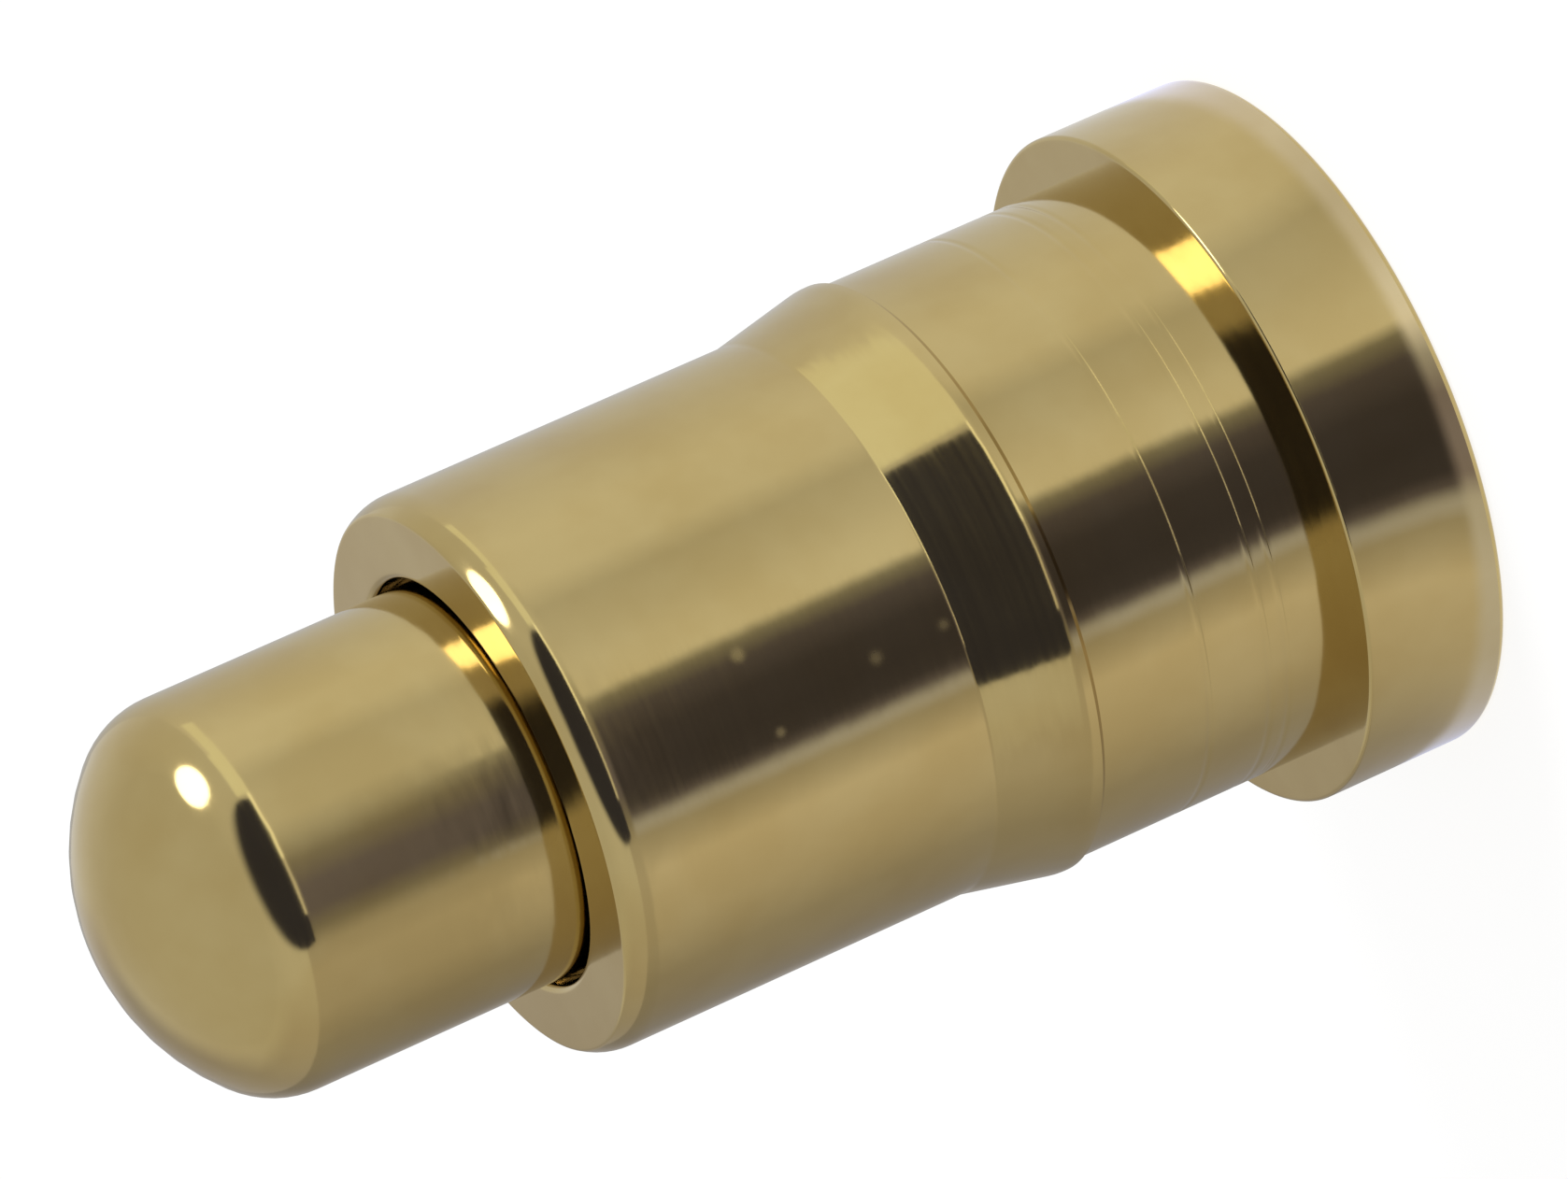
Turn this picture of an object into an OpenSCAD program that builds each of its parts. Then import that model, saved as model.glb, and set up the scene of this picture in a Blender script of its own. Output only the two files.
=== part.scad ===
// Pogo pin: a spring-loaded contact that stands on its flange and is soldered to a board.
// A turned barrel holds a domed plunger on a coil spring, and its rolled lip keeps the plunger in.
// Sizes are in millimetres. +Z runs from the flange's base, at the origin, to the plunger's tip.

/* [Barrel] */
// Length from the base to the front of the rolled lip
barrel_len = 2.55; // [2.30:0.01:3.00]
// Diameter of the front barrel
barrel_d = 1.52; // [1.46:0.01:1.58]
// Diameter of the rear barrel, between the flange and the collar
rear_d = 1.60; // [1.54:0.01:1.62]
// Diameter of the collar's rear edge
collar_d = 1.63; // [1.60:0.01:1.68]
// Height of the collar's rear edge above the base
collar_z = 1.17; // [1.00:0.01:1.30]
// Length over which the collar tapers down to the front barrel
collar_len = 0.25; // [0.15:0.01:0.40]
// Flat left at the collar's edge by its chamfer
collar_edge = 0.015; // [0.005:0.001:0.020]
// Diameter of the flange
flange_d = 1.85; // [1.76:0.01:2.20]
// Thickness of the flange
flange_t = 0.41; // [0.30:0.01:0.55]
// Rounding of the flange's two rims
rim_r = 0.025; // [0.010:0.001:0.040]
// Fillet between the flange and the rear barrel
root_r = 0.06; // [0.02:0.01:0.07]

/* [Bore and lip] */
// Diameter of the bore
bore_d = 1.26; // [1.22:0.01:1.32]
// Height of the bore's floor, where the drill point starts
floor_z = 0.55; // [0.50:0.01:0.70]
// Included angle of the drill points in the barrel and the plunger
point_angle = 118; // [100:1:140]
// Outer rounding of the rolled lip
lip_r = 0.145; // [0.100:0.005:0.150]
// Thickness of the lip along the axis
lip_t = 0.20; // [0.16:0.01:0.30]

/* [Plunger] */
// Diameter of the shaft
plunger_d = 1.07; // [1.00:0.01:1.11]
// How far the tip stands out of the lip at rest
reach = 1.02; // [0.90:0.01:1.30]
// Radius of the dome's crown
crown_r = 0.65; // [0.58:0.01:0.90]
// Radius that blends the crown into the shaft
shoulder_r = 0.25; // [0.10:0.01:0.32]
// Length of the wide head that the lip holds back
head_len = 0.45; // [0.30:0.01:0.60]
// Chamfer of the head's upper edge
head_edge = 0.015; // [0.005:0.001:0.020]
// Chamfer of the head's lower edge
head_lead = 0.05; // [0.02:0.01:0.08]
// Depth of the drilled pocket, without its drill point
pocket_depth = 1.00; // [0.80:0.01:1.10]

/* [Spring] */
// Outer diameter of the spring
spring_d = 0.78; // [0.70:0.01:0.82]
// Diameter of the wire
wire_d = 0.12; // [0.08:0.01:0.13]
// Turns from end to end, with one closed turn at each end
turns = 9; // [6:1:10]

/* [Fits] */
// Radial clearance of the shaft in the lip and of the head in the bore
running_gap = 0.02; // [0.015:0.001:0.025]
// Radial clearance of the spring in its pocket
spring_gap = 0.03; // [0.02:0.01:0.05]
// Clearance at the spring's ends and between the head and the lip
seat_gap = 0.01; // [0.005:0.001:0.020]

/* [Hidden] */
$fn = 96;

// Colours of the gold plate and the spring wire
gold = [0.80, 0.67, 0.38];
steel = [0.72, 0.71, 0.68];

// Radii that follow from the diameters and the fits
barrel_r = barrel_d / 2;
rear_r = rear_d / 2;
collar_r = collar_d / 2;
flange_r = flange_d / 2;
bore_r = bore_d / 2;
plunger_r = plunger_d / 2;
mouth_r = plunger_r + running_gap;
head_r = bore_r - running_gap;
pocket_r = spring_d / 2 + spring_gap;

// The lip: its outer rounding within the wall there, its crest, the curl that turns in
// towards the shaft, and its underside
lip_share = 0.75;
lip_round = min(lip_r, lip_share * (barrel_r - mouth_r));
crest_r = barrel_r - lip_round;
curl_r = crest_r - mouth_r;
lip_z = barrel_len - lip_round;
curl_z = barrel_len - curl_r;
ledge_z = barrel_len - lip_t;

// The drill points
half_point = point_angle / 2;
floor_tip_z = floor_z - bore_r / tan(half_point);

// The plunger, from the head's lower face to the tip
head_top_z = ledge_z - seat_gap;
head_z = head_top_z - head_len;
tip_z = barrel_len + reach;
crown_z = tip_z - crown_r;
shoulder_z = crown_z + sqrt(pow(crown_r - shoulder_r, 2) - pow(plunger_r - shoulder_r, 2));
crown_angle = atan2(plunger_r - shoulder_r, shoulder_z - crown_z);
pocket_z = head_z + pocket_depth;
pocket_tip_z = pocket_z + pocket_r / tan(half_point);

// The spring's wire, resting in the two drill points
wire_r = wire_d / 2;
coil_r = spring_d / 2 - wire_r;
seat_rise = coil_r / tan(half_point) + (wire_r + seat_gap) / sin(half_point);
coil_low_z = floor_tip_z + seat_rise;
coil_high_z = pocket_tip_z - seat_rise;
closed_pitch = 1.05 * wire_d;
open_pitch = (coil_high_z - coil_low_z - 2 * closed_pitch) / (turns - 2);
turn_steps = 20;
wire_sides = 8;

// A quarter of a disc in the first quadrant
module quarter_disc(r) {
    intersection() {
        circle(r);
        square(r);
    }
}

// A band of the given radius about the axis, from one height to another
module band(r, low_z, high_z) {
    translate([0, low_z]) square([r, high_z - low_z]);
}

// Half section of the flange, with both rims rounded
module flange_section() {
    band(flange_r - rim_r, 0, flange_t);
    band(flange_r, rim_r, flange_t - rim_r);
    translate([flange_r - rim_r, flange_t - rim_r]) quarter_disc(rim_r);
    translate([flange_r - rim_r, rim_r]) mirror([0, 1]) quarter_disc(rim_r);
}

// Half section of the fillet at the root of the rear barrel
module root_section() {
    translate([rear_r, flange_t]) difference() {
        square(root_r);
        translate([root_r, root_r]) circle(root_r);
    }
}

// Half section of the collar, a taper that ends in a chamfered edge
module collar_section() {
    polygon([
        [0, collar_z],
        [collar_r - collar_edge, collar_z],
        [collar_r, collar_z + collar_edge],
        [barrel_r, collar_z + collar_len],
        [0, collar_z + collar_len]
    ]);
}

// Half section of the space inside: drill point, bore and mouth
module bore_section() {
    polygon([
        [0, floor_tip_z],
        [bore_r, floor_z],
        [bore_r, ledge_z],
        [mouth_r, ledge_z],
        [mouth_r, barrel_len],
        [0, barrel_len]
    ]);
}

// Half section of the lip's two roundings, which meet at its crest
module lip_section() {
    translate([crest_r, lip_z]) quarter_disc(lip_round);
    translate([crest_r, curl_z]) mirror([1, 0]) quarter_disc(curl_r);
}

// Barrel: flange, rear barrel, collar, front barrel and rolled lip, turned from one piece
module barrel() {
    color(gold) rotate_extrude() {
        difference() {
            union() {
                flange_section();
                root_section();
                band(rear_r, 0, collar_z);
                collar_section();
                band(barrel_r, collar_z, lip_z);
                band(crest_r, lip_z, curl_z);
            }
            bore_section();
        }
        lip_section();
    }
}

// Half section of the plunger's head and shaft
module shaft_section() {
    band(plunger_r, head_z + head_lead, shoulder_z);
    polygon([
        [0, head_z],
        [head_r - head_lead, head_z],
        [head_r, head_z + head_lead],
        [head_r, head_top_z - head_edge],
        [head_r - head_edge, head_top_z],
        [0, head_top_z]
    ]);
}

// Half section of the pocket that is drilled up into the head
module pocket_section() {
    polygon([
        [0, head_z],
        [pocket_r, head_z],
        [pocket_r, pocket_z],
        [0, pocket_tip_z]
    ]);
}

// Half section of the dome: a crown and the rounding that blends it into the shaft
module dome_section() {
    translate([plunger_r - shoulder_r, shoulder_z]) quarter_disc(shoulder_r);
    translate([0, crown_z]) intersection() {
        circle(crown_r);
        polygon([
            [0, 0],
            [2 * crown_r * sin(crown_angle), 2 * crown_r * cos(crown_angle)],
            [0, 2 * crown_r]
        ]);
    }
}

// Plunger: domed tip, shaft and captive head, turned from one piece and back-drilled
module plunger() {
    color(gold) rotate_extrude() difference() {
        union() {
            shaft_section();
            dome_section();
        }
        pocket_section();
    }
}

// Height of the wire's centre after a number of turns
function coil_z(turn) =
    turn < 1 ? coil_low_z + closed_pitch * turn :
    turn < turns - 1 ? coil_low_z + closed_pitch + open_pitch * (turn - 1) :
    coil_high_z - closed_pitch * (turns - turn);

// One point on the wire's surface
function wire_point(turn, side_angle) =
    let (r = coil_r + wire_r * cos(side_angle), a = 360 * turn)
    [r * cos(a), r * sin(a), coil_z(turn) + wire_r * sin(side_angle)];

// Spring: a compression spring with closed ends
module spring() {
    last = turns * turn_steps;
    points = [
        for (i = [0:last], k = [0:wire_sides - 1])
            wire_point(i / turn_steps, 360 * k / wire_sides)
    ];
    start = [for (k = [0:wire_sides - 1]) k];
    end = [for (k = [wire_sides - 1:-1:0]) last * wire_sides + k];
    sides = [
        for (i = [0:last - 1], k = [0:wire_sides - 1])
            let (a = i * wire_sides, b = a + wire_sides, n = (k + 1) % wire_sides)
            [a + k, b + k, b + n, a + n]
    ];
    color(steel) polyhedron(points, concat([start, end], sides));
}

barrel();
plunger();
spring();
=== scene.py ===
import math

import bmesh
import bpy
from mathutils import Matrix, Vector


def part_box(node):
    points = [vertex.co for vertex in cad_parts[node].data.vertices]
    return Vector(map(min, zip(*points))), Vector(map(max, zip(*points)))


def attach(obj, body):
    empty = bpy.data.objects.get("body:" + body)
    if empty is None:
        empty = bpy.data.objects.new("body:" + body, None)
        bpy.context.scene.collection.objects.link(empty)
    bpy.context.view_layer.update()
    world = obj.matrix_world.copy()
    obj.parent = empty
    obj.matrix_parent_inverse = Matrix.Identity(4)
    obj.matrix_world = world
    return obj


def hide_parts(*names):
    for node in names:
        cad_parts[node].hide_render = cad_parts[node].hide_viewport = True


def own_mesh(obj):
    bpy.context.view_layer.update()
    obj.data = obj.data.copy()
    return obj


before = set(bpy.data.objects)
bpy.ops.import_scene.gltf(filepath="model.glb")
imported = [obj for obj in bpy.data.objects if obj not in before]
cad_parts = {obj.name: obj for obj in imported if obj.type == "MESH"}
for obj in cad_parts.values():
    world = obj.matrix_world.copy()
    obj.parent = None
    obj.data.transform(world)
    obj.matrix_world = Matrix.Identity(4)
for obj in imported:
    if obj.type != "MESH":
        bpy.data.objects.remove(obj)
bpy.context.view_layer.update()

bl_info = {
    "name": "Pogo Pin",
    "version": (1, 0, 0),
    "blender": (4, 5, 0),
    "location": "View3D > Sidebar > Pogo Pin",
    "description": "Builds a gold-plated spring contact around its solid model",
    "category": "Add Mesh",
}

MM = 0.001
MICRON = 0.000001
BARREL_LOW, BARREL_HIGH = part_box("barrel")
PLUNGER_LOW, PLUNGER_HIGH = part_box("plunger")
SPRING_LOW, SPRING_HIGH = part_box("spring")


def length(name, description, default):
    """A size in metres that a user may change."""
    return bpy.props.FloatProperty(name=name, description=description, default=default, min=0.0,
                                   precision=6, subtype="DISTANCE", unit="LENGTH")


def angle(name, description, degrees):
    """An angle, shown in degrees."""
    return bpy.props.FloatProperty(name=name, description=description, default=math.radians(degrees),
                                   subtype="ANGLE", unit="ROTATION")


def share(name, description, default):
    """A number from 0 to 1."""
    return bpy.props.FloatProperty(name=name, description=description, default=default,
                                   min=0.0, max=1.0, subtype="FACTOR")


def colour(name, description, default):
    """A linear colour."""
    return bpy.props.FloatVectorProperty(name=name, description=description, default=default,
                                         size=3, min=0.0, max=1.0, subtype="COLOR")


class PinBarrel(bpy.types.PropertyGroup):
    """Sizes of the turned barrel."""
    length: length("Length", "From the base to the front of the rolled lip", BARREL_HIGH.z)
    front_radius: length("Front radius", "Radius of the front barrel", 0.76 * MM)
    rear_radius: length("Rear radius", "Radius between the flange and the collar", 0.80 * MM)
    collar_radius: length("Collar radius", "Radius of the collar's rear edge", 0.815 * MM)
    collar_z: length("Collar height", "Height of the collar's rear edge", 1.158 * MM)
    collar_length: length("Collar length", "Length of the collar's taper", 0.262 * MM)
    collar_round: length("Collar rounding", "Gentle rounding from the taper to the edge", 0.150 * MM)
    collar_turn: angle("Collar turn", "How far that rounding turns past the widest point", 1.5)
    flange_radius: length("Flange radius", "Radius of the flange", BARREL_HIGH.x)
    flange_thickness: length("Flange thickness", "Thickness of the flange", 0.41 * MM)
    rim_round: length("Back rim rounding", "Rounding of the flange's back rim", 0.025 * MM)
    front_rim_round: length("Front rim rounding", "Rounding of the flange's front rim", 0.010 * MM)
    bore_radius: length("Bore radius", "Radius of the bore", 0.63 * MM)
    floor_z: length("Floor height", "Height of the bore's floor, where the drill point starts", 0.55 * MM)
    lip_round: length("Lip rounding", "Main rounding of the rolled lip", 0.140 * MM)
    lip_start: length("Lip start", "From the front of the barrel back to the start of the lip", 0.145 * MM)
    lip_turn: angle("Lip turn", "How far the main rounding turns before the tighter one", 34.7)
    lip_face: angle("Lip face", "How far the lip's face leans outward", 1.2)
    lip_shoulder: length("Lip shoulder", "Tighter rounding between the lip's side and its face", 0.010 * MM)
    lip_curl: length("Lip curl", "Rounding of the lip's inner edge", 0.020 * MM)
    lip_thickness: length("Lip thickness", "Thickness of the lip along the axis", 0.20 * MM)


class PinPlunger(bpy.types.PropertyGroup):
    """Sizes of the turned plunger."""
    shaft_radius: length("Shaft radius", "Radius of the shaft", 0.535 * MM)
    crown_radius: length("Crown radius", "Radius of the dome's crown", 0.65 * MM)
    shoulder_radius: length("Shoulder radius", "Radius that blends the crown into the shaft", 0.25 * MM)
    head_radius: length("Head radius", "Radius of the captive head", PLUNGER_HIGH.x)
    head_length: length("Head length", "Length of the captive head", 0.45 * MM)
    head_edge: length("Head edge", "Chamfer of the head's upper edge", 0.015 * MM)
    head_lead: length("Head lead", "Chamfer of the head's lower edge", 0.05 * MM)
    pocket_radius: length("Pocket radius", "Radius of the drilled pocket", 0.42 * MM)
    pocket_depth: length("Pocket depth", "Depth of the pocket without its drill point", 1.00 * MM)
    running_gap: length("Running gap", "Clearance of the shaft in the lip", 0.02 * MM)
    point_angle: angle("Point angle", "Included angle of the drill points", 118)


class PinSpring(bpy.types.PropertyGroup):
    """Sizes of the spring."""
    coil_radius: length("Coil radius", "Outer radius of the spring", 0.39 * MM)
    wire_radius: length("Wire radius", "Radius of the wire", 0.06 * MM)
    turns: bpy.props.IntProperty(name="Turns", description="Turns from end to end", default=9, min=3)
    closed_pitch: length("Closed pitch", "Rise of the closed turn at each end", 0.126 * MM)


class PinFinish(bpy.types.PropertyGroup):
    """Colours and surface of the gold plate and the wire."""
    gold: colour("Gold", "Colour of the plate", (0.515, 0.405, 0.178))
    deep_gold: colour("Deep gold", "Colour of the plate where it is thicker", (0.480, 0.366, 0.150))
    steel: colour("Steel", "Colour of the wire", (0.480, 0.465, 0.430))
    roughness: share("Roughness", "Roughness of the plate", 0.10)
    mark_width: length("Mark width", "Width of the turning marks", 0.012 * MM)
    mark_depth: length("Mark depth", "Depth of the turning marks", 0.00003 * MM)
    ripple_width: length("Ripple width", "Width of the ripples in the plate", 0.22 * MM)
    ripple_depth: length("Ripple depth", "Depth of the ripples in the plate", 0.0008 * MM)
    speck_roughness: share("Speck roughness", "Roughness of the few matte specks on the front barrel", 0.34)


class PinStage(bpy.types.PropertyGroup):
    """Camera, floor and light."""
    distance: length("Distance", "From the camera to the pin", 35.25 * MM)
    elevation: angle("Elevation", "Height of the camera above the horizon", 19.68)
    roll: angle("Roll", "Turn of the camera about its own line of sight", -114)
    target_z: length("Target height", "Height of the point that the distances are measured from", 1.8 * MM)
    aim_side: bpy.props.FloatProperty(name="Aim across", description="Shift of the aim across the axis",
                                      default=0.132 * MM, precision=6, unit="LENGTH")
    aim_up: bpy.props.FloatProperty(name="Aim along", description="Shift of the aim along the axis",
                                    default=-0.259 * MM, precision=6, unit="LENGTH")
    lens: bpy.props.FloatProperty(name="Lens", description="Focal length", default=319.1,
                                  subtype="DISTANCE_CAMERA")
    floor_radius: length("Floor radius", "Radius of the floor", 300 * MM)


# ---------------------------------------------------------------- turned sections

ARC_STEP = math.radians(6)
AROUND = 256
WALL_RING = 0.008 * MM
SAME_POINT = 0.05 * MICRON


def start_section(r, z):
    """A half section, drawn in the XZ plane with X as the radius."""
    section = bmesh.new()
    bmesh.ops.create_vert(section, co=(r, 0, z))
    return section


def section_end(section):
    """The last point of a half section."""
    section.verts.ensure_lookup_table()
    return section.verts[-1]


def cut_line(section, r, z):
    """A straight stretch to the given radius and height."""
    end = bmesh.ops.extrude_vert_indiv(section, verts=[section_end(section)])["verts"][0]
    end.co = (r, 0, z)


def cut_wall(section, r, z):
    """A straight wall with a ring close to each end, so that its shading stays straight between them."""
    origin = section_end(section).co.copy()
    goal = Vector((r, 0, z))
    inset = WALL_RING / (goal - origin).length
    for part in (inset, 1 - inset, 1):
        point = origin.lerp(goal, part)
        cut_line(section, point.x, point.z)


def cut_arc(section, r, z, degrees):
    """An arc about the given centre; a positive turn runs from +X towards +Z."""
    turn = math.radians(degrees)
    steps = max(2, math.ceil(abs(turn) / ARC_STEP))
    bmesh.ops.spin(section, geom=[section_end(section)], cent=(r, 0, z), axis=(0, -1, 0),
                   angle=turn, steps=steps, use_merge=False, use_duplicate=False)
    section.verts.ensure_lookup_table()


def cut_score(section, r, z, depth):
    """A shallow groove to the given point, as deep as given, on the left of the way there."""
    origin = section_end(section).co.copy()
    chord = Vector((r, 0, z)) - origin
    half = chord.length / 2
    radius = (half * half + depth * depth) / (2 * depth)
    side = Vector((-chord.z, 0, chord.x)).normalized()
    centre = origin + chord / 2 - side * (radius - depth)
    cut_arc(section, centre.x, centre.z, -math.degrees(2 * math.asin(half / radius)))
    section_end(section).co = (r, 0, z)


def revolve(section, name, sharp_degrees=24):
    """Spins a half section into a closed solid of revolution."""
    bmesh.ops.spin(section, geom=section.verts[:] + section.edges[:], cent=(0, 0, 0), axis=(0, 0, 1),
                   angle=math.tau, steps=AROUND, use_merge=True, use_duplicate=False)
    bmesh.ops.remove_doubles(section, verts=section.verts[:], dist=SAME_POINT)
    bmesh.ops.recalc_face_normals(section, faces=section.faces[:])
    for face in section.faces:
        face.smooth = True
    for edge in section.edges:
        edge.smooth = edge.calc_face_angle(0) < math.radians(sharp_degrees)
    return finished_piece(section, name)


def finished_piece(mesh_data, name):
    """Puts a finished bmesh into the scene as an object."""
    mesh = bpy.data.meshes.new(name)
    mesh_data.to_mesh(mesh)
    mesh_data.free()
    piece = bpy.data.objects.new(name, mesh)
    bpy.context.scene.collection.objects.link(piece)
    return piece


def keep_flat_walls_flat(piece):
    """Lets the long walls and not the narrow roundings beside them lead the shading."""
    shading = piece.modifiers.new("wall shading", "WEIGHTED_NORMAL")
    shading.keep_sharp = True
    shading.weight = 100


# ---------------------------------------------------------------- materials


def new_material(name):
    """An empty node material and its tree."""
    material = bpy.data.materials.new(name)
    material.use_nodes = True
    material.node_tree.nodes.clear()
    return material, material.node_tree


def add(tree, kind, **settings):
    """A new node with the given settings."""
    node = tree.nodes.new(kind)
    for key, value in settings.items():
        setattr(node, key, value)
    return node


def noise(tree, vector, scale, detail):
    node = add(tree, "ShaderNodeTexNoise", noise_dimensions="3D")
    node.inputs["Scale"].default_value = scale
    node.inputs["Detail"].default_value = detail
    tree.links.new(vector, node.inputs["Vector"])
    return node.outputs["Fac"]


# the few matte specks on the front barrel: angle from the front in degrees, height and radius
SPECKS = ((2.0, 1.985 * MM, 0.024 * MM), (-9.0, 1.650 * MM, 0.026 * MM), (-8.5, 1.450 * MM, 0.022 * MM),
          (-14.5, 1.955 * MM, 0.018 * MM))
SPECK_BLUR = 1.35
CLOUD_WIDTH = 0.3 * MM
STREAK_WIDTH = 0.02 * MM
WIRE_SMOOTHEST, WIRE_ROUGHEST, STREAK_SHADE = 0.22, 0.38, 0.8


def on_barrel(radius, degrees, height):
    """A point on a barrel of the given radius, by its angle from the front."""
    turn = math.radians(degrees)
    return (radius * math.sin(turn), -radius * math.cos(turn), height)


def gold_plate_material(finish, barrel_radius):
    """Bright gold plate with turning marks round the axis, faint ripples and a few matte specks."""
    material, tree = new_material("turned gold plate")
    link = tree.links.new
    place = add(tree, "ShaderNodeTexCoord").outputs["Object"]
    parts = add(tree, "ShaderNodeSeparateXYZ")
    link(place, parts.inputs[0])
    flat = add(tree, "ShaderNodeCombineXYZ")
    link(parts.outputs["X"], flat.inputs["X"])
    link(parts.outputs["Y"], flat.inputs["Y"])
    radius = add(tree, "ShaderNodeVectorMath", operation="LENGTH")
    link(flat.outputs[0], radius.inputs[0])
    lathe = add(tree, "ShaderNodeCombineXYZ")
    link(radius.outputs["Value"], lathe.inputs["X"])
    link(parts.outputs["Z"], lathe.inputs["Z"])

    marks = noise(tree, lathe.outputs[0], 1 / finish.mark_width, 3)
    along = add(tree, "ShaderNodeMapping")
    along.inputs["Scale"].default_value = (1.0, 1.0, 2.0)
    link(place, along.inputs["Vector"])
    ripples = noise(tree, along.outputs[0], 1 / finish.ripple_width, 2)
    cloud = step_between(tree, noise(tree, place, 1 / CLOUD_WIDTH, 3), 0.3, 0.7)
    specks = None
    for around, height, size in SPECKS:
        reach = add(tree, "ShaderNodeVectorMath", operation="DISTANCE")
        reach.inputs[1].default_value = on_barrel(barrel_radius, around, height)
        link(place, reach.inputs[0])
        speck = step_between(tree, reach.outputs["Value"], 0.0, SPECK_BLUR * size, 1.0, 0.0)
        specks = speck if specks is None else math_node(tree, "ADD", specks, speck)

    tint = add(tree, "ShaderNodeMix", data_type="RGBA")
    tint.inputs["A"].default_value = (*finish.gold, 1)
    tint.inputs["B"].default_value = (*finish.deep_gold, 1)
    link(cloud, tint.inputs["Factor"])

    rough = add(tree, "ShaderNodeMapRange")
    rough.inputs["To Min"].default_value = finish.roughness * 0.88
    rough.inputs["To Max"].default_value = finish.roughness * 1.12
    link(step_between(tree, marks, 0.35, 0.65), rough.inputs["Value"])
    matte = add(tree, "ShaderNodeMix", data_type="FLOAT")
    matte.inputs["B"].default_value = finish.speck_roughness
    link(specks, matte.inputs["Factor"])
    link(rough.outputs["Result"], matte.inputs["A"])

    rings = add(tree, "ShaderNodeBump")
    rings.inputs["Distance"].default_value = finish.mark_depth
    link(marks, rings.inputs["Height"])
    swell = add(tree, "ShaderNodeBump")
    swell.inputs["Distance"].default_value = finish.ripple_depth
    link(ripples, swell.inputs["Height"])
    link(rings.outputs[0], swell.inputs["Normal"])

    shader = add(tree, "ShaderNodeBsdfPrincipled")
    shader.inputs["Metallic"].default_value = 1.0
    link(tint.outputs["Result"], shader.inputs["Base Color"])
    link(matte.outputs["Result"], shader.inputs["Roughness"])
    link(swell.outputs[0], shader.inputs["Normal"])
    link(shader.outputs[0], add(tree, "ShaderNodeOutputMaterial").inputs["Surface"])
    return material


def spring_wire_material(finish):
    """Drawn stainless wire, satin, with fine streaks."""
    material, tree = new_material("drawn spring wire")
    link = tree.links.new
    place = add(tree, "ShaderNodeTexCoord").outputs["Object"]
    streaks = noise(tree, place, 1 / STREAK_WIDTH, 4)
    tint = add(tree, "ShaderNodeMix", data_type="RGBA")
    tint.inputs["A"].default_value = (*finish.steel, 1)
    tint.inputs["B"].default_value = (*[STREAK_SHADE * part for part in finish.steel], 1)
    link(streaks, tint.inputs["Factor"])
    rough = add(tree, "ShaderNodeMapRange")
    rough.inputs["To Min"].default_value = WIRE_SMOOTHEST
    rough.inputs["To Max"].default_value = WIRE_ROUGHEST
    link(streaks, rough.inputs["Value"])
    shader = add(tree, "ShaderNodeBsdfPrincipled")
    shader.inputs["Metallic"].default_value = 1.0
    link(tint.outputs["Result"], shader.inputs["Base Color"])
    link(rough.outputs["Result"], shader.inputs["Roughness"])
    link(shader.outputs[0], add(tree, "ShaderNodeOutputMaterial").inputs["Surface"])
    return material


# ---------------------------------------------------------------- pieces

SCORE_HEIGHTS = (0.575 * MM, 0.63 * MM, 0.81 * MM)
SCORE_HALF_WIDTH = 0.010 * MM
SCORE_DEPTH = 1.5 * MICRON
WIRE_SIDES = 20
STEPS_A_TURN = 72


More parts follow.
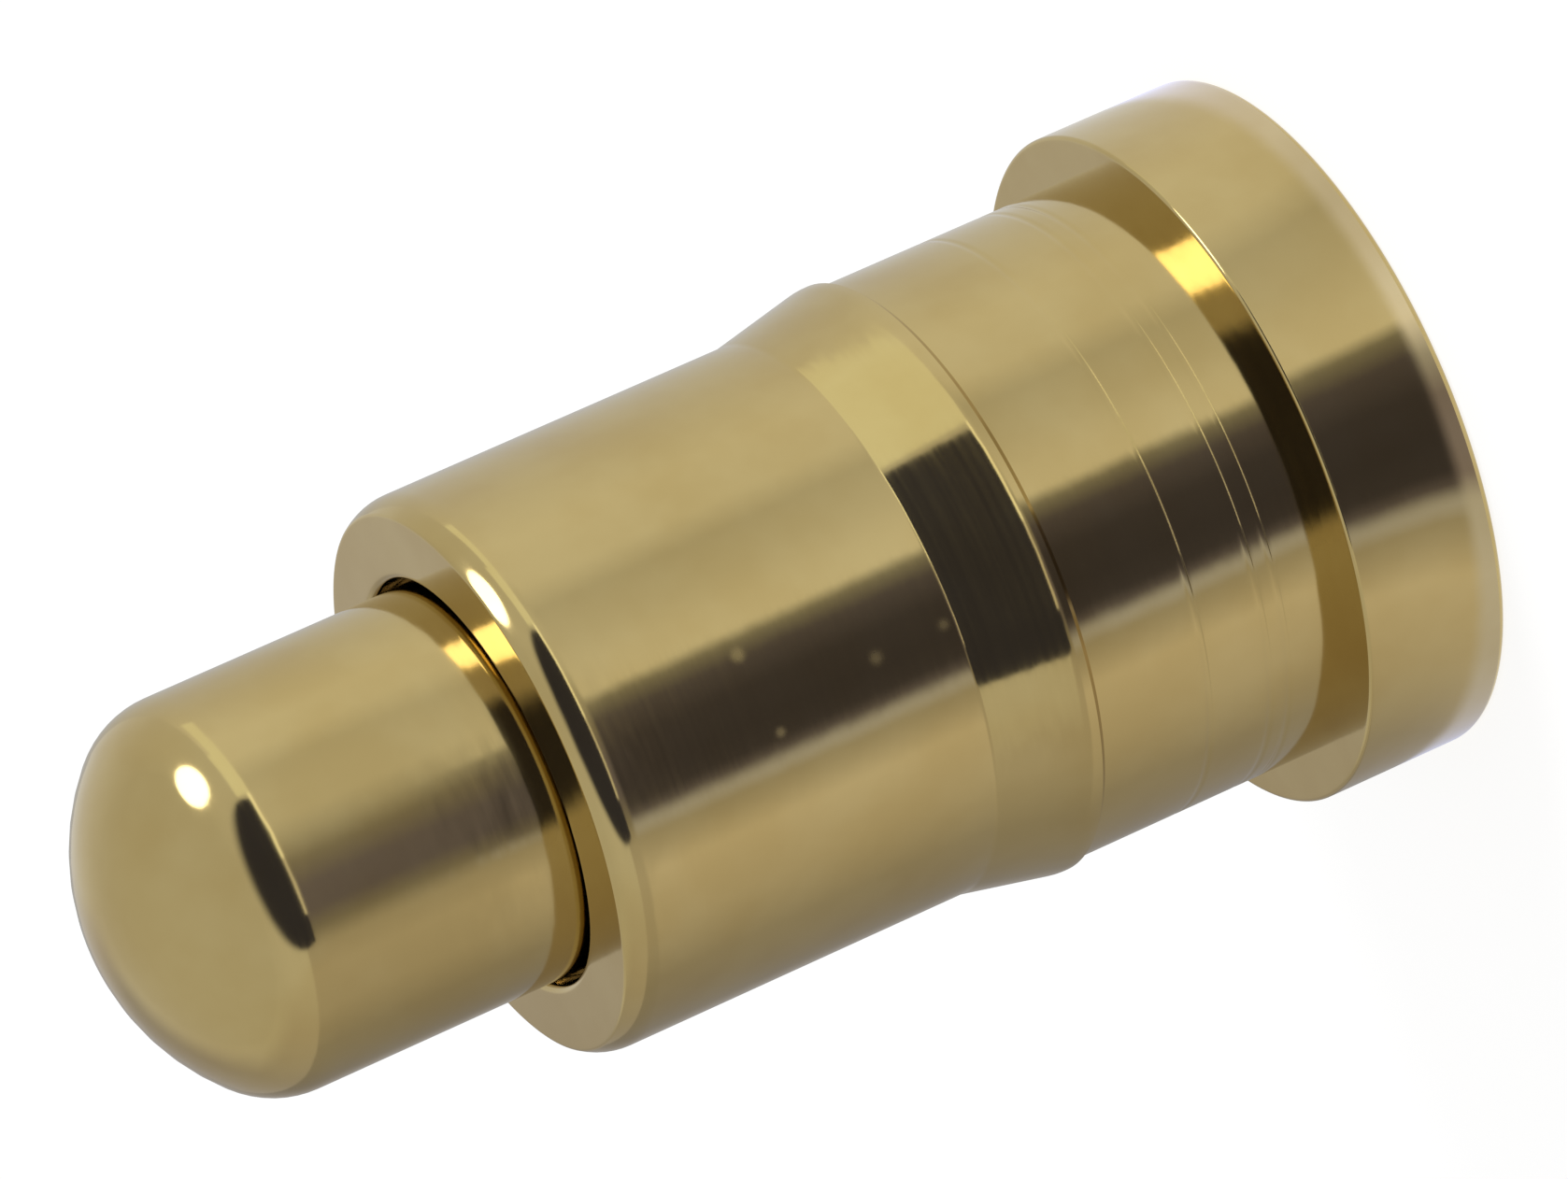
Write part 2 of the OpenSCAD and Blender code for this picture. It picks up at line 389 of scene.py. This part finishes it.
class PIN_OT_barrel(bpy.types.Operator):
    """Turns the barrel: flange, rear barrel, collar, front barrel and rolled lip"""
    bl_idname = "pogo_pin.barrel"
    bl_label = "Barrel"

    def execute(self, context):
        size = context.scene.pin_barrel
        plunger = context.scene.pin_plunger
        top = size.length
        mouth = plunger.shaft_radius + plunger.running_gap
        taper = math.atan2(size.collar_radius - size.front_radius, size.collar_length)
        rim = size.flange_radius - size.rim_round

        section = start_section(0, 0)
        cut_line(section, rim, 0)
        cut_arc(section, rim, size.rim_round, 90)
        cut_wall(section, size.flange_radius, size.flange_thickness - size.front_rim_round)
        cut_arc(section, size.flange_radius - size.front_rim_round,
                size.flange_thickness - size.front_rim_round, 90)
        cut_wall(section, size.rear_radius, size.flange_thickness)

        for height in SCORE_HEIGHTS:
            cut_wall(section, size.rear_radius, height - SCORE_HALF_WIDTH)
            cut_score(section, size.rear_radius, height + SCORE_HALF_WIDTH, SCORE_DEPTH)

        centre_r = size.collar_radius - size.collar_round
        centre_z = size.collar_z - size.collar_round * math.tan(taper / 2)
        edge_r = centre_r + size.collar_round * math.cos(size.collar_turn)
        edge_z = centre_z - size.collar_round * math.sin(size.collar_turn)
        cut_wall(section, size.rear_radius, edge_z - (edge_r - size.rear_radius))
        cut_line(section, edge_r, edge_z)
        cut_arc(section, centre_r, centre_z, math.degrees(size.collar_turn + taper))
        cut_wall(section, size.front_radius, size.collar_z + size.collar_length)
        lip_z = top - size.lip_start
        cut_wall(section, size.front_radius, lip_z)
        cut_arc(section, size.front_radius - size.lip_round, lip_z, math.degrees(size.lip_turn))
        corner = section_end(section).co.copy()
        inward = Vector((math.cos(size.lip_turn), 0, math.sin(size.lip_turn))) * size.lip_shoulder
        shoulder = corner - inward
        face_tilt = math.degrees(size.lip_face)
        cut_arc(section, shoulder.x, shoulder.z, 90 - face_tilt - math.degrees(size.lip_turn))
        start = section_end(section).co.copy()
        curl_r = mouth + size.lip_curl
        up = Vector((math.sin(size.lip_face), 0, math.cos(size.lip_face))) * size.lip_curl
        face_z = start.z + (start.x - curl_r - up.x) * math.tan(size.lip_face)
        cut_wall(section, curl_r + up.x, face_z)
        cut_arc(section, curl_r, face_z - up.z, 90 + face_tilt)
        cut_line(section, mouth, top - size.lip_thickness)
        cut_line(section, size.bore_radius, top - size.lip_thickness)
        cut_line(section, size.bore_radius, size.floor_z)
        cut_line(section, 0, size.floor_z - size.bore_radius / math.tan(plunger.point_angle / 2))

        piece = revolve(section, "barrel_turned")
        keep_flat_walls_flat(piece)
        piece.data.materials.append(bpy.data.materials["turned gold plate"])
        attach(piece, "barrel")
        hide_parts("barrel")
        return {"FINISHED"}


class PIN_OT_plunger(bpy.types.Operator):
    """Turns the plunger: captive head with its drilled pocket, shaft and domed tip"""
    bl_idname = "pogo_pin.plunger"
    bl_label = "Plunger"

    def execute(self, context):
        size = context.scene.pin_plunger
        bottom, tip = PLUNGER_LOW.z, PLUNGER_HIGH.z
        head_top = bottom + size.head_length
        crown_z = tip - size.crown_radius
        inner = size.crown_radius - size.shoulder_radius
        across = size.shaft_radius - size.shoulder_radius
        shoulder_z = crown_z + math.sqrt(inner ** 2 - across ** 2)
        crown_angle = math.degrees(math.atan2(across, shoulder_z - crown_z))

        section = start_section(size.pocket_radius, bottom)
        cut_line(section, size.head_radius - size.head_lead, bottom)
        cut_line(section, size.head_radius, bottom + size.head_lead)
        cut_line(section, size.head_radius, head_top - size.head_edge)
        cut_line(section, size.head_radius - size.head_edge, head_top)
        cut_line(section, size.shaft_radius, head_top)
        cut_wall(section, size.shaft_radius, shoulder_z)
        cut_arc(section, across, shoulder_z, 90 - crown_angle)
        cut_arc(section, 0, crown_z, crown_angle)
        section_end(section).co = (0, 0, tip)
        pocket_z = bottom + size.pocket_depth
        cut_line(section, 0, pocket_z + size.pocket_radius / math.tan(size.point_angle / 2))
        cut_line(section, size.pocket_radius, pocket_z)
        cut_line(section, size.pocket_radius, bottom)
        return finish_plunger(section)


def finish_plunger(section):
    """Closes the section, drops the line along the axis and revolves the rest."""
    bmesh.ops.remove_doubles(section, verts=section.verts[:], dist=SAME_POINT)
    on_axis = [edge for edge in section.edges if all(v.co.x < MICRON for v in edge.verts)]
    bmesh.ops.delete(section, geom=on_axis, context="EDGES")
    piece = revolve(section, "plunger_turned")
    keep_flat_walls_flat(piece)
    piece.data.materials.append(bpy.data.materials["turned gold plate"])
    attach(piece, "plunger")
    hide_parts("plunger")
    return {"FINISHED"}


class PIN_OT_spring(bpy.types.Operator):
    """Winds the spring: open turns between one closed turn at each end"""
    bl_idname = "pogo_pin.spring"
    bl_label = "Spring"

    def execute(self, context):
        size = context.scene.pin_spring
        low = SPRING_LOW.z + size.wire_radius
        rise = SPRING_HIGH.z - SPRING_LOW.z - 2 * size.wire_radius
        open_turns = size.turns - 2
        wire = bmesh.new()
        bmesh.ops.create_circle(wire, segments=WIRE_SIDES, radius=size.wire_radius, cap_ends=True)
        bmesh.ops.rotate(wire, verts=wire.verts[:], cent=(0, 0, 0),
                         matrix=Matrix.Rotation(math.pi / 2, 3, "X"))
        bmesh.ops.translate(wire, verts=wire.verts[:], vec=(size.coil_radius - size.wire_radius, 0, low))
        ring = wire.edges[:]
        for turns, climb in ((1, size.closed_pitch), (open_turns, rise - 2 * size.closed_pitch),
                             (1, size.closed_pitch)):
            steps = turns * STEPS_A_TURN
            wound = bmesh.ops.spin(wire, geom=ring, cent=(0, 0, 0), axis=(0, 0, 1),
                                   dvec=(0, 0, climb / steps), angle=turns * math.tau,
                                   steps=steps, use_merge=False, use_duplicate=False)
            ring = [part for part in wound["geom_last"] if isinstance(part, bmesh.types.BMEdge)]
        bmesh.ops.edgenet_fill(wire, edges=ring)
        bmesh.ops.recalc_face_normals(wire, faces=wire.faces[:])
        for face in wire.faces:
            face.smooth = len(face.verts) == 4
        piece = finished_piece(wire, "spring_coil")
        piece.data.materials.append(bpy.data.materials["drawn spring wire"])
        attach(piece, "barrel")
        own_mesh(piece)
        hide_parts("spring")
        return {"FINISHED"}


class PIN_OT_finish(bpy.types.Operator):
    """Makes the gold plate and the spring wire's satin finish"""
    bl_idname = "pogo_pin.finish"
    bl_label = "Finish"

    def execute(self, context):
        finish = context.scene.pin_finish
        gold_plate_material(finish, context.scene.pin_barrel.front_radius)
        spring_wire_material(finish)
        return {"FINISHED"}


# ---------------------------------------------------------------- stage

FLOOR_GREY, FLOOR_GLOW = 0.35, 0.81
WORLD_LIGHT, WORLD_SEEN = 0.55, 1.0
# the tent: a glowing wall and roof seen only in the metal, whose tones are painted reflections
TENT_RADIUS, ROOF_HEIGHT, PEAK_HEIGHT, ROOF_LEVEL = 55 * MM, 40 * MM, 60 * MM, 0.74
WALL_FADE_LOW, WALL_FADE_HIGH, WALL_TOP = 18 * MM, 38 * MM, 0.76
# centre and height of the painted floor reflection, a disc seen only in the metal
PAINTED_REFLECTION_Y, PAINTED_REFLECTION_Z = -0.4 * MM, 0.02 * MM
# the camera's shape: a dark sheet seen only in the metal, a painted dark reflection
SHAPE_REACH, SHAPE_TOP, SHAPE_DEGREES = 14 * MM, 14 * MM, 46
OVAL_DEGREES, OVAL_MIDDLE, OVAL_HALF_HEIGHT = 44, 3.2 * MM, 9.6 * MM
DARK_REFLECTION_COLOUR = (0.046, 0.047, 0.08)
CARD_REACH, CARD_BOTTOM, CARD_STEPS = 13 * MM, 0.1 * MM, 48
# glowing cards seen only in the metal, painted bright reflections: name, top, from and to in degrees, level
# and colour
CARDS = (("bright_card", 1.8 * MM, 75, 104, 1.2, (0.97, 1.0, 0.93)),
         ("tall_card", 2.7 * MM, 45, 75, 1.2, (0.97, 1.0, 0.93)),
         ("bright_strip", 0.75 * MM, 6, 45, 1.7, (0.98, 1.0, 0.93)),
         ("low_strip", 0.75 * MM, -26, 6, 0.95, (1.0, 0.98, 0.95)))
LAMP_WIDTH, LAMP_DISTANCE, LAMP_LEVEL = 19 * MM, 40 * MM, 5.2
LAMP_AZIMUTH, LAMP_ELEVATION = 70, 28


def seen_directly_or_in_metal(tree):
    """1 for rays from the camera and for those that gloss or glass sends on."""
    path = add(tree, "ShaderNodeLightPath")
    first = add(tree, "ShaderNodeMath", operation="MAXIMUM")
    tree.links.new(path.outputs["Is Camera Ray"], first.inputs[0])
    tree.links.new(path.outputs["Is Glossy Ray"], first.inputs[1])
    both = add(tree, "ShaderNodeMath", operation="MAXIMUM")
    tree.links.new(first.outputs[0], both.inputs[0])
    tree.links.new(path.outputs["Is Transmission Ray"], both.inputs[1])
    return both.outputs[0]


def floor_material():
    """Pale floor that reads as white and keeps the pin's shadow."""
    material, tree = new_material("pale_floor")
    link = tree.links.new
    diffuse = add(tree, "ShaderNodeBsdfDiffuse")
    diffuse.inputs["Color"].default_value = (FLOOR_GREY, FLOOR_GREY, FLOOR_GREY, 1)
    glow = add(tree, "ShaderNodeEmission")
    glow.inputs["Color"].default_value = (1, 1, 1, 1)
    level = add(tree, "ShaderNodeMath", operation="MULTIPLY")
    link(seen_directly_or_in_metal(tree), level.inputs[0])
    level.inputs[1].default_value = FLOOR_GLOW
    link(level.outputs[0], glow.inputs["Strength"])
    total = add(tree, "ShaderNodeAddShader")
    link(diffuse.outputs[0], total.inputs[0])
    link(glow.outputs[0], total.inputs[1])
    link(total.outputs[0], add(tree, "ShaderNodeOutputMaterial").inputs["Surface"])
    return material


def card_material(name, level, tint=(1, 1, 1)):
    """A glowing card of one plain tone; seen only in the metal, it is a painted reflection."""
    material, tree = new_material(name)
    glow = add(tree, "ShaderNodeEmission")
    glow.inputs["Color"].default_value = (*tint, 1)
    glow.inputs["Strength"].default_value = level
    tree.links.new(glow.outputs[0], add(tree, "ShaderNodeOutputMaterial").inputs["Surface"])
    return material


def around_the_pin(tree, centre_y):
    """Azimuth in turns, 0.5 on the camera's side, and distance, both about an upright line at centre_y."""
    place = add(tree, "ShaderNodeTexCoord").outputs["Object"]
    moved = add(tree, "ShaderNodeVectorMath", operation="SUBTRACT")
    moved.inputs[1].default_value = (0, centre_y, 0)
    tree.links.new(place, moved.inputs[0])
    parts = add(tree, "ShaderNodeSeparateXYZ")
    tree.links.new(moved.outputs[0], parts.inputs[0])
    toward = math_node(tree, "MULTIPLY", parts.outputs["Y"], -1.0)
    around = math_node(tree, "ARCTAN2", parts.outputs["X"], toward)
    azimuth = math_node(tree, "MULTIPLY_ADD", around, 1 / math.tau, 0.5)
    flat = add(tree, "ShaderNodeCombineXYZ")
    tree.links.new(parts.outputs["X"], flat.inputs["X"])
    tree.links.new(parts.outputs["Y"], flat.inputs["Y"])
    reach = add(tree, "ShaderNodeVectorMath", operation="LENGTH")
    tree.links.new(flat.outputs[0], reach.inputs[0])
    return azimuth, reach.outputs["Value"], parts.outputs["Z"]


def math_node(tree, operation, *values):
    """A Math node fed by sockets or numbers."""
    node = add(tree, "ShaderNodeMath", operation=operation)
    for socket, value in zip(node.inputs, values):
        if isinstance(value, (int, float)):
            socket.default_value = value
        else:
            tree.links.new(value, socket)
    return node.outputs[0]


def step_between(tree, value, low, high, to_low=0.0, to_high=1.0):
    """Goes smoothly from one level to another as the value passes from low to high."""
    node = add(tree, "ShaderNodeMapRange", interpolation_type="SMOOTHSTEP")
    for name, number in (("From Min", low), ("From Max", high), ("To Min", to_low), ("To Max", to_high)):
        if isinstance(number, (int, float)):
            node.inputs[name].default_value = number
        else:
            tree.links.new(number, node.inputs[name])
    tree.links.new(value, node.inputs["Value"])
    return node.outputs["Result"]


def tones_by_azimuth(tree, azimuth, tones):
    """Tones at the given azimuths in degrees, 0 on the camera's side, blended between them."""
    ramp = add(tree, "ShaderNodeValToRGB")
    stops = ramp.color_ramp.elements
    while len(stops) < len(tones):
        stops.new(1.0)
    for stop, (degrees, level, hue) in zip(stops, tones):
        stop.position = degrees / 360 + 0.5
        stop.color = (*[level * part for part in hue], 1)
    tree.links.new(azimuth, ramp.inputs["Fac"])
    return ramp.outputs["Color"]


def painted_floor_reflection_material():
    """What the walls see of the floor, a disc seen only in the metal: painted reflections, dark in front,
    bright on one side and dim on the other.
    """
    material, tree = new_material("painted floor reflection")
    azimuth, _, _ = around_the_pin(tree, PAINTED_REFLECTION_Y)
    _, reach, _ = around_the_pin(tree, 0.0)
    tone = tones_by_azimuth(tree, azimuth, NEAR_TONES)
    for start, end, at_start, at_end, tones in FLOOR_CHANGES:
        blend = add(tree, "ShaderNodeMix", data_type="RGBA")
        others = step_between(tree, reach, start, end, at_start, at_end)
        tree.links.new(others, blend.inputs["Factor"])
        tree.links.new(tone, blend.inputs["A"])
        tree.links.new(tones_by_azimuth(tree, azimuth, tones), blend.inputs["B"])
        tone = blend.outputs["Result"]
    glow = add(tree, "ShaderNodeEmission")
    tree.links.new(tone, glow.inputs["Color"])
    tree.links.new(glow.outputs[0], add(tree, "ShaderNodeOutputMaterial").inputs["Surface"])
    return material


def tent_wall_material():
    """The tent's wall, seen only in the metal: painted reflections, dimmer behind the pin on one side, even
    towards the roof.
    """
    material, tree = new_material("tent wall")
    azimuth, _, height = around_the_pin(tree, 0.0)
    blend = add(tree, "ShaderNodeMix", data_type="RGBA")
    tree.links.new(step_between(tree, height, WALL_FADE_LOW, WALL_FADE_HIGH), blend.inputs["Factor"])
    tree.links.new(tones_by_azimuth(tree, azimuth, WALL_TONES), blend.inputs["A"])
    blend.inputs["B"].default_value = (WALL_TOP, WALL_TOP, WALL_TOP, 1)
    glow = add(tree, "ShaderNodeEmission")
    tree.links.new(blend.outputs["Result"], glow.inputs["Color"])
    tree.links.new(glow.outputs[0], add(tree, "ShaderNodeOutputMaterial").inputs["Surface"])
    return material


def camera_shape_material(width_degrees, middle, half_height):
    """Painted dark reflection of a camera and its holder, a dark sheet seen only in the metal: crisp below,
    soft above.
    """
    material, tree = new_material("camera shape")
    azimuth, _, height = around_the_pin(tree, 0.0)
    across = math_node(tree, "MULTIPLY_ADD", azimuth, 360 / width_degrees, -180 / width_degrees)
    rise = math_node(tree, "MULTIPLY_ADD", height, 1 / half_height, -middle / half_height)
    distance = math_node(tree, "SQRT", math_node(
        tree, "ADD", math_node(tree, "POWER", math_node(tree, "ABSOLUTE", across), 2.0),
        math_node(tree, "POWER", math_node(tree, "ABSOLUTE", rise), 2.0)))
    softness = step_between(tree, height, middle - 0.2 * half_height, middle + half_height, 0.03, 0.45)
    inside = math_node(tree, "SUBTRACT", 1.0, softness)
    mask = step_between(tree, distance, inside, 1.0, 1.0, 0.0)
    glow = add(tree, "ShaderNodeEmission")
    glow.inputs["Color"].default_value = (*DARK_REFLECTION_COLOUR, 1)
    clear = add(tree, "ShaderNodeBsdfTransparent")
    total = add(tree, "ShaderNodeMixShader")
    tree.links.new(mask, total.inputs["Fac"])
    tree.links.new(clear.outputs[0], total.inputs[1])
    tree.links.new(glow.outputs[0], total.inputs[2])
    tree.links.new(total.outputs[0], add(tree, "ShaderNodeOutputMaterial").inputs["Surface"])
    return material


PLAIN, WARM, DUSK, PALE = (1, 1, 1), (1.0, 0.96, 0.95), (1.0, 0.93, 1.35), (0.96, 1.0, 1.3)
# tones by azimuth: degrees from the camera's side, level and hue; painted reflections, seen only in the metal
NEAR_TONES = ((-180, 0.46, WARM), (-150, 0.32, WARM), (-110, 0.46, WARM), (-84, 0.72, WARM),
              (-60, 0.88, WARM), (-50, 0.64, WARM), (-45, 0.55, WARM), (-41, 0.66, PALE), (-39, 0.58, PALE),
              (-35.5, 0.16, DUSK),
              (-31.5, 0.072, DUSK), (-22, 0.065, DUSK), (-8, 0.075, DUSK), (3, 0.13, DUSK), (10, 0.33, PLAIN),
              (14, 1.02, PLAIN), (24, 0.96, PLAIN),
              (36, 0.84, PLAIN), (52, 0.74, PLAIN), (64, 0.96, PLAIN), (86, 0.99, PLAIN), (110, 0.88, PLAIN),
              (150, 0.70, PLAIN), (180, 0.46, PLAIN))
FAR_TONES = ((-180, 0.46, WARM), (-150, 0.32, WARM), (-110, 0.44, WARM), (-84, 0.62, WARM),
             (-60, 0.68, WARM),
             (-46, 0.60, WARM), (-36, 0.32, WARM), (-26, 0.20, DUSK), (-12, 0.21, DUSK), (2, 0.34, WARM),
             (16, 0.66, PLAIN), (26, 0.84, PLAIN), (40, 0.84, PLAIN), (56, 0.80, PLAIN), (70, 0.98, PLAIN),
             (86, 1.0, PLAIN), (110, 0.88, PLAIN), (150, 0.70, PLAIN), (180, 0.46, PLAIN))
WALL_TONES = ((-180, 0.60, WARM), (-172, 0.46, WARM), (-140, 0.50, WARM), (-100, 0.66, WARM),
              (-60, 0.80, PLAIN),
              (172, 0.80, PLAIN), (180, 0.60, WARM))
CLOSE_TONES = ((-180, 0.6, PALE), (-110, 0.72, PALE), (-60, 0.90, PALE), (-40, 0.78, PALE),
               (-33, 0.36, DUSK),
               (-10, 0.33, DUSK), (2, 0.62, PALE), (13, 1.35, PALE), (26, 1.20, PALE), (50, 1.0, PALE),
               (75, 1.15, PALE), (110, 1.1, PALE), (180, 0.6, PALE))
# where the painted floor reflection's near tones give way by distance: from, to, share of the others at each,
# the others
FLOOR_CHANGES = ((7.4 * MM, 8.8 * MM, 0.0, 1.0, FAR_TONES), (0.98 * MM, 1.08 * MM, 1.0, 0.0, CLOSE_TONES))


def seen_in_metal_only(piece):
    """A studio card that shapes the reflections and shades nothing."""
    piece.visible_camera = False
    piece.visible_diffuse = False
    piece.visible_transmission = False
    piece.visible_shadow = False
    piece.visible_volume_scatter = False


def swept_card(name, start, end, from_degrees, to_degrees, material, centre=(0, 0, 0)):
    """A card swept about the vertical from one azimuth to another; 0 is the camera's side."""
    card = bmesh.new()
    first = bmesh.ops.create_vert(card, co=(centre[0] + start[0], centre[1], start[1]))["vert"][0]
    last = bmesh.ops.extrude_vert_indiv(card, verts=[first])["verts"][0]
    last.co = (centre[0] + end[0], centre[1], end[1])
    low, high = math.radians(from_degrees - 90), math.radians(to_degrees - 90)
    bmesh.ops.rotate(card, verts=card.verts[:], cent=centre, matrix=Matrix.Rotation(low, 3, "Z"))
    bmesh.ops.spin(card, geom=card.verts[:] + card.edges[:], cent=centre, axis=(0, 0, 1),
                   angle=high - low, steps=CARD_STEPS, use_merge=False, use_duplicate=False)
    piece = finished_piece(card, name)
    piece.data.materials.append(material)
    seen_in_metal_only(piece)


class PIN_OT_stage(bpy.types.Operator):
    """Lays the floor, sets the light and the cards, and places the camera"""
    bl_idname = "pogo_pin.stage"
    bl_label = "Stage"

    def execute(self, context):
        stage = context.scene.pin_stage
        scene = context.scene
        scene.view_settings.view_transform = "Standard"

        ground = bmesh.new()
        bmesh.ops.create_circle(ground, segments=96, radius=stage.floor_radius, cap_ends=True)
        bmesh.ops.translate(ground, verts=ground.verts[:], vec=(0, 0, -MICRON))
        floor = finished_piece(ground, "floor")
        floor.data.materials.append(floor_material())

        world = bpy.data.worlds.new("studio")
        world.use_nodes = True
        scene.world = world
        tree = world.node_tree
        tree.nodes.clear()
        sky = add(tree, "ShaderNodeBackground")
        sky.inputs["Color"].default_value = (1, 1, 1, 1)
        level = add(tree, "ShaderNodeMapRange")
        level.inputs["To Min"].default_value = WORLD_LIGHT
        level.inputs["To Max"].default_value = WORLD_SEEN
        tree.links.new(seen_directly_or_in_metal(tree), level.inputs["Value"])
        tree.links.new(level.outputs["Result"], sky.inputs["Strength"])
        tree.links.new(sky.outputs[0], add(tree, "ShaderNodeOutputWorld").inputs["Surface"])

        swept_card("tent_wall", (TENT_RADIUS, 0), (TENT_RADIUS, ROOF_HEIGHT), -180, 180,
                   tent_wall_material())
        swept_card("tent_roof", (TENT_RADIUS, ROOF_HEIGHT), (0, PEAK_HEIGHT), -180, 180,
                   card_material("tent roof", ROOF_LEVEL))
        swept_card("painted_floor_reflection", (0.01 * MM, PAINTED_REFLECTION_Z), (TENT_RADIUS, PAINTED_REFLECTION_Z), -180, 180,
                   painted_floor_reflection_material(), centre=(0, PAINTED_REFLECTION_Y, 0))
        swept_card("camera_shape", (SHAPE_REACH, CARD_BOTTOM), (SHAPE_REACH, SHAPE_TOP),
                   -SHAPE_DEGREES, SHAPE_DEGREES,
                   camera_shape_material(OVAL_DEGREES, OVAL_MIDDLE, OVAL_HALF_HEIGHT))
        for name, top, low, high, level, tint in CARDS:
            swept_card(name, (CARD_REACH, CARD_BOTTOM), (CARD_REACH, top), low, high,
                       card_material(name.replace("_", " "), level, tint))

        lamp = bpy.data.lights.new("softbox", "AREA")
        lamp.shape = "DISK"
        lamp.size = LAMP_WIDTH
        lamp.energy = LAMP_LEVEL * math.pi * math.pi * (lamp.size / 2) ** 2
        softbox = bpy.data.objects.new("softbox", lamp)
        scene.collection.objects.link(softbox)
        target = Vector((0, 0, stage.target_z))
        place = self.direction(LAMP_AZIMUTH, LAMP_ELEVATION) * LAMP_DISTANCE + target
        softbox.location = place
        softbox.rotation_mode = "QUATERNION"
        softbox.rotation_quaternion = (place - target).to_track_quat("Z", "Y")

        rise = stage.elevation
        back = Vector((0, -math.cos(rise), math.sin(rise)))
        up = Vector((0, math.sin(rise), math.cos(rise)))
        eye = target + back * stage.distance
        aim = target + Vector((stage.aim_side, 0, 0)) + stage.aim_up * up
        camera = bpy.data.cameras.new("camera")
        camera.lens = stage.lens
        camera.sensor_width = 36
        camera.clip_start = 1 * MM
        camera.clip_end = 1000 * MM
        viewer = bpy.data.objects.new("camera", camera)
        scene.collection.objects.link(viewer)
        viewer.location = eye
        viewer.rotation_mode = "QUATERNION"
        level_turn = (aim - eye).to_track_quat("-Z", "Y")
        viewer.rotation_quaternion = level_turn @ Matrix.Rotation(stage.roll, 3, "Z").to_quaternion()
        scene.camera = viewer
        return {"FINISHED"}

    @staticmethod
    def direction(azimuth, elevation):
        """The way from the pin to an azimuth and elevation in degrees, 0 on the camera's side."""
        a, e = math.radians(azimuth), math.radians(elevation)
        return Vector((math.sin(a) * math.cos(e), -math.cos(a) * math.cos(e), math.sin(e)))


class PIN_PT_panel(bpy.types.Panel):
    bl_idname = "PIN_PT_panel"
    bl_label = "Pogo Pin"
    bl_space_type = "VIEW_3D"
    bl_region_type = "UI"
    bl_category = "Pogo Pin"

    def draw(self, context):
        for operator in OPERATORS:
            self.layout.operator(operator.bl_idname)


GROUPS = {"pin_barrel": PinBarrel, "pin_plunger": PinPlunger, "pin_spring": PinSpring,
          "pin_finish": PinFinish, "pin_stage": PinStage}
OPERATORS = (PIN_OT_finish, PIN_OT_barrel, PIN_OT_plunger, PIN_OT_spring, PIN_OT_stage)


def register():
    for name, group in GROUPS.items():
        bpy.utils.register_class(group)
        setattr(bpy.types.Scene, name, bpy.props.PointerProperty(type=group))
    for operator in OPERATORS:
        bpy.utils.register_class(operator)
    bpy.utils.register_class(PIN_PT_panel)


def unregister():
    bpy.utils.unregister_class(PIN_PT_panel)
    for operator in reversed(OPERATORS):
        bpy.utils.unregister_class(operator)
    for name, group in reversed(GROUPS.items()):
        delattr(bpy.types.Scene, name)
        bpy.utils.unregister_class(group)


def main():
    register()
    bpy.ops.pogo_pin.finish()
    bpy.ops.pogo_pin.barrel()
    bpy.ops.pogo_pin.plunger()
    bpy.ops.pogo_pin.spring()
    bpy.ops.pogo_pin.stage()


if __name__ == "__main__":
    main()
